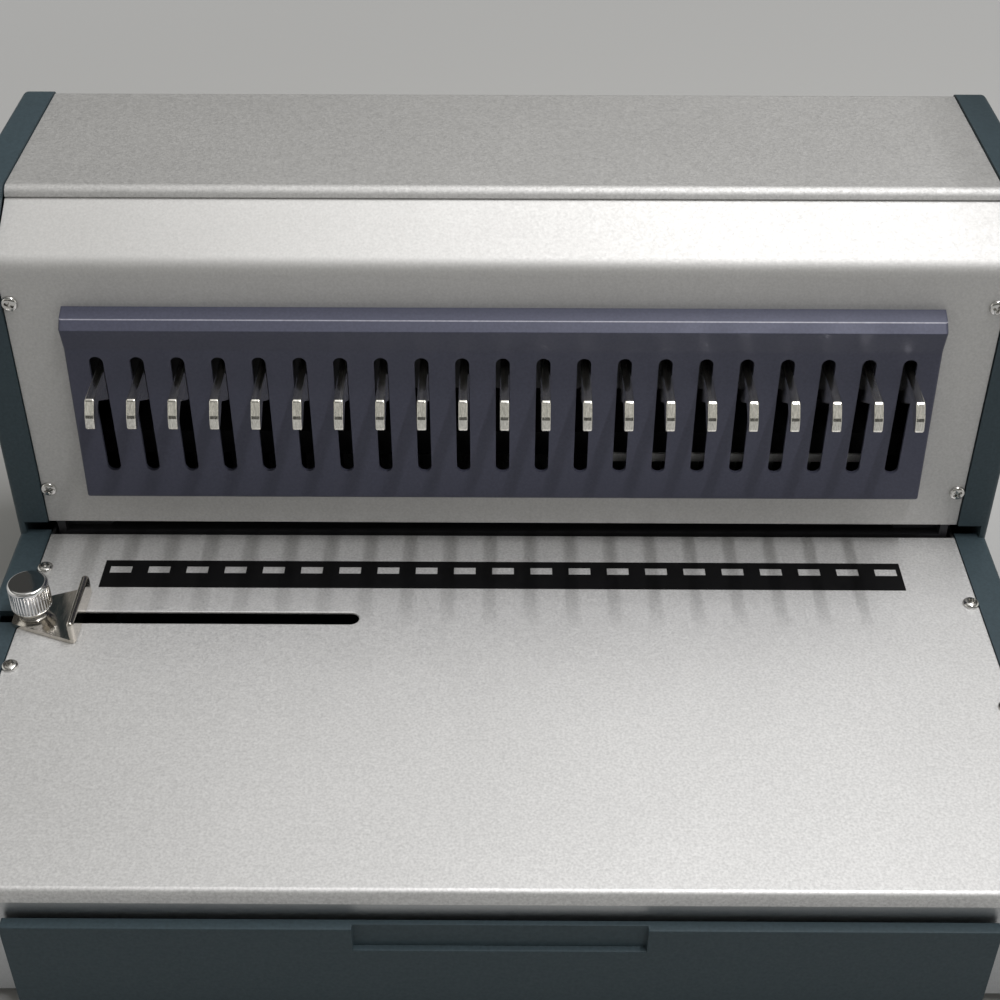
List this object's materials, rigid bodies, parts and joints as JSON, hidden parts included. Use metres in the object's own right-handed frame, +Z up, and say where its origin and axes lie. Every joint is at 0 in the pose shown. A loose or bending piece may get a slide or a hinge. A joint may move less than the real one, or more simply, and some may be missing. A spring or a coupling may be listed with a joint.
{
  "type": "comb binding machine",
  "caption": "Desk comb binding machine: a lever drives a punch row and lowers the comb hooks; side guide and chip drawer.",
  "frame": {"origin": "on the ground at the middle of the overall box, under the machine with its lever at rest", "axes": "+X to the right along the comb, +Y to the back, +Z up"},
  "size_m": [0.3998, 0.2858, 0.3786],
  "materials": {
    "silver_paint": "satin metallic silver paint on sheet steel",
    "side_plastic": "moulded blue-grey plastic, fine texture",
    "slate_paint": "dark slate paint, satin",
    "hook_steel": "tumbled steel with rounded edges",
    "tool_steel": "ground steel",
    "dark_steel": "blackened steel",
    "plated_sheet": "zinc-plated sheet",
    "chrome": "bright chrome",
    "nickel_sheet": "nickel-plated, fine scratches",
    "brass": "plain bearing brass",
    "rubber": "matte black rubber",
    "grip_plastic": "soft black grip",
    "black_print": "black printed film",
    "screw_zinc": "zinc-plated screws"
  },
  "bodies": {
    "base": {"base_pan": "plated_sheet", "table_plate": "silver_paint", "front_housing": "silver_paint", "top_cover": "silver_paint", "left_side_panel": "side_plastic", "right_side_panel": "side_plastic", "left_frame": "plated_sheet", "right_frame": "plated_sheet", "comb_plate": "slate_paint", "guide_rods": "tool_steel", "shaft_bushes": "brass", "punch_guide": "dark_steel", "throat_spacers": "dark_steel", "die_plate": "dark_steel", "paper_stop": "dark_steel", "guide_posts": "tool_steel", "return_springs": "tool_steel", "printed_strip": "black_print", "drawer_runners": "plated_sheet", "rubber_feet": "rubber", "panel_screws": "screw_zinc", "table_screws": "screw_zinc", "rear_screws": "screw_zinc"},
    "lever": {"drive_shaft": "tool_steel", "pinions": "tool_steel", "press_cams": "dark_steel", "lever_arm": "chrome", "lever_grip": "grip_plastic"},
    "punch_head": {"punch_plate": "dark_steel", "punch_pins": "tool_steel", "cam_pads": "dark_steel"},
    "hook_carriage": {"hook_bar": "dark_steel", "hook_rod": "tool_steel", "hook_racks": "tool_steel", "comb_hook_01": "hook_steel", "comb_hook_02": "hook_steel", "comb_hook_03": "hook_steel", "comb_hook_04": "hook_steel", "comb_hook_05": "hook_steel", "comb_hook_06": "hook_steel", "comb_hook_07": "hook_steel", "comb_hook_08": "hook_steel", "comb_hook_09": "hook_steel", "comb_hook_10": "hook_steel", "comb_hook_11": "hook_steel", "comb_hook_12": "hook_steel", "comb_hook_13": "hook_steel", "comb_hook_14": "hook_steel", "comb_hook_15": "hook_steel", "comb_hook_16": "hook_steel", "comb_hook_17": "hook_steel", "comb_hook_18": "hook_steel", "comb_hook_19": "hook_steel", "comb_hook_20": "hook_steel", "comb_hook_21": "hook_steel"},
    "guide": {"edge_guide": "nickel_sheet", "clamp_bolt": "nickel_sheet"},
    "nut": {"thumb_nut": "chrome"},
    "drawer": {"chip_drawer": "side_plastic"}
  },
  "joints": [
    {"name": "lever_pull", "type": "hinge", "parent": "base", "child": "lever", "pos_m": [0.1859, 0.07905, 0.118], "axis": [1, 0, 0], "range_deg": [0, 80]},
    {"name": "punch_press", "type": "slide", "parent": "base", "child": "punch_head", "axis": [0, 0, -1], "range_m": [0, 0.006], "stiffness_N_per_m": 4000, "springref_m": -0.025, "deforming": ["return_springs"]},
    {"name": "hook_drop", "type": "slide", "parent": "base", "child": "hook_carriage", "axis": [0, 0, -1], "range_m": [0, 0.02793]},
    {"name": "guide_slide", "type": "slide", "parent": "base", "child": "guide", "axis": [1, 0, 0], "range_m": [0, 0.1]},
    {"name": "nut_turn", "type": "hinge", "parent": "guide", "child": "nut", "pos_m": [-0.1824, -0.01575, 0.064], "axis": [0, 0, 1], "range_deg": [0, 360]},
    {"name": "drawer_slide", "type": "slide", "parent": "base", "child": "drawer", "axis": [0, -1, 0], "range_m": [0, 0.15]}
  ],
  "couplings": [
    {"joint": "punch_press", "follows": "lever_pull", "m_per_rad": 0.0042972},
    {"joint": "hook_drop", "follows": "lever_pull", "m_per_rad": 0.02}
  ]
}
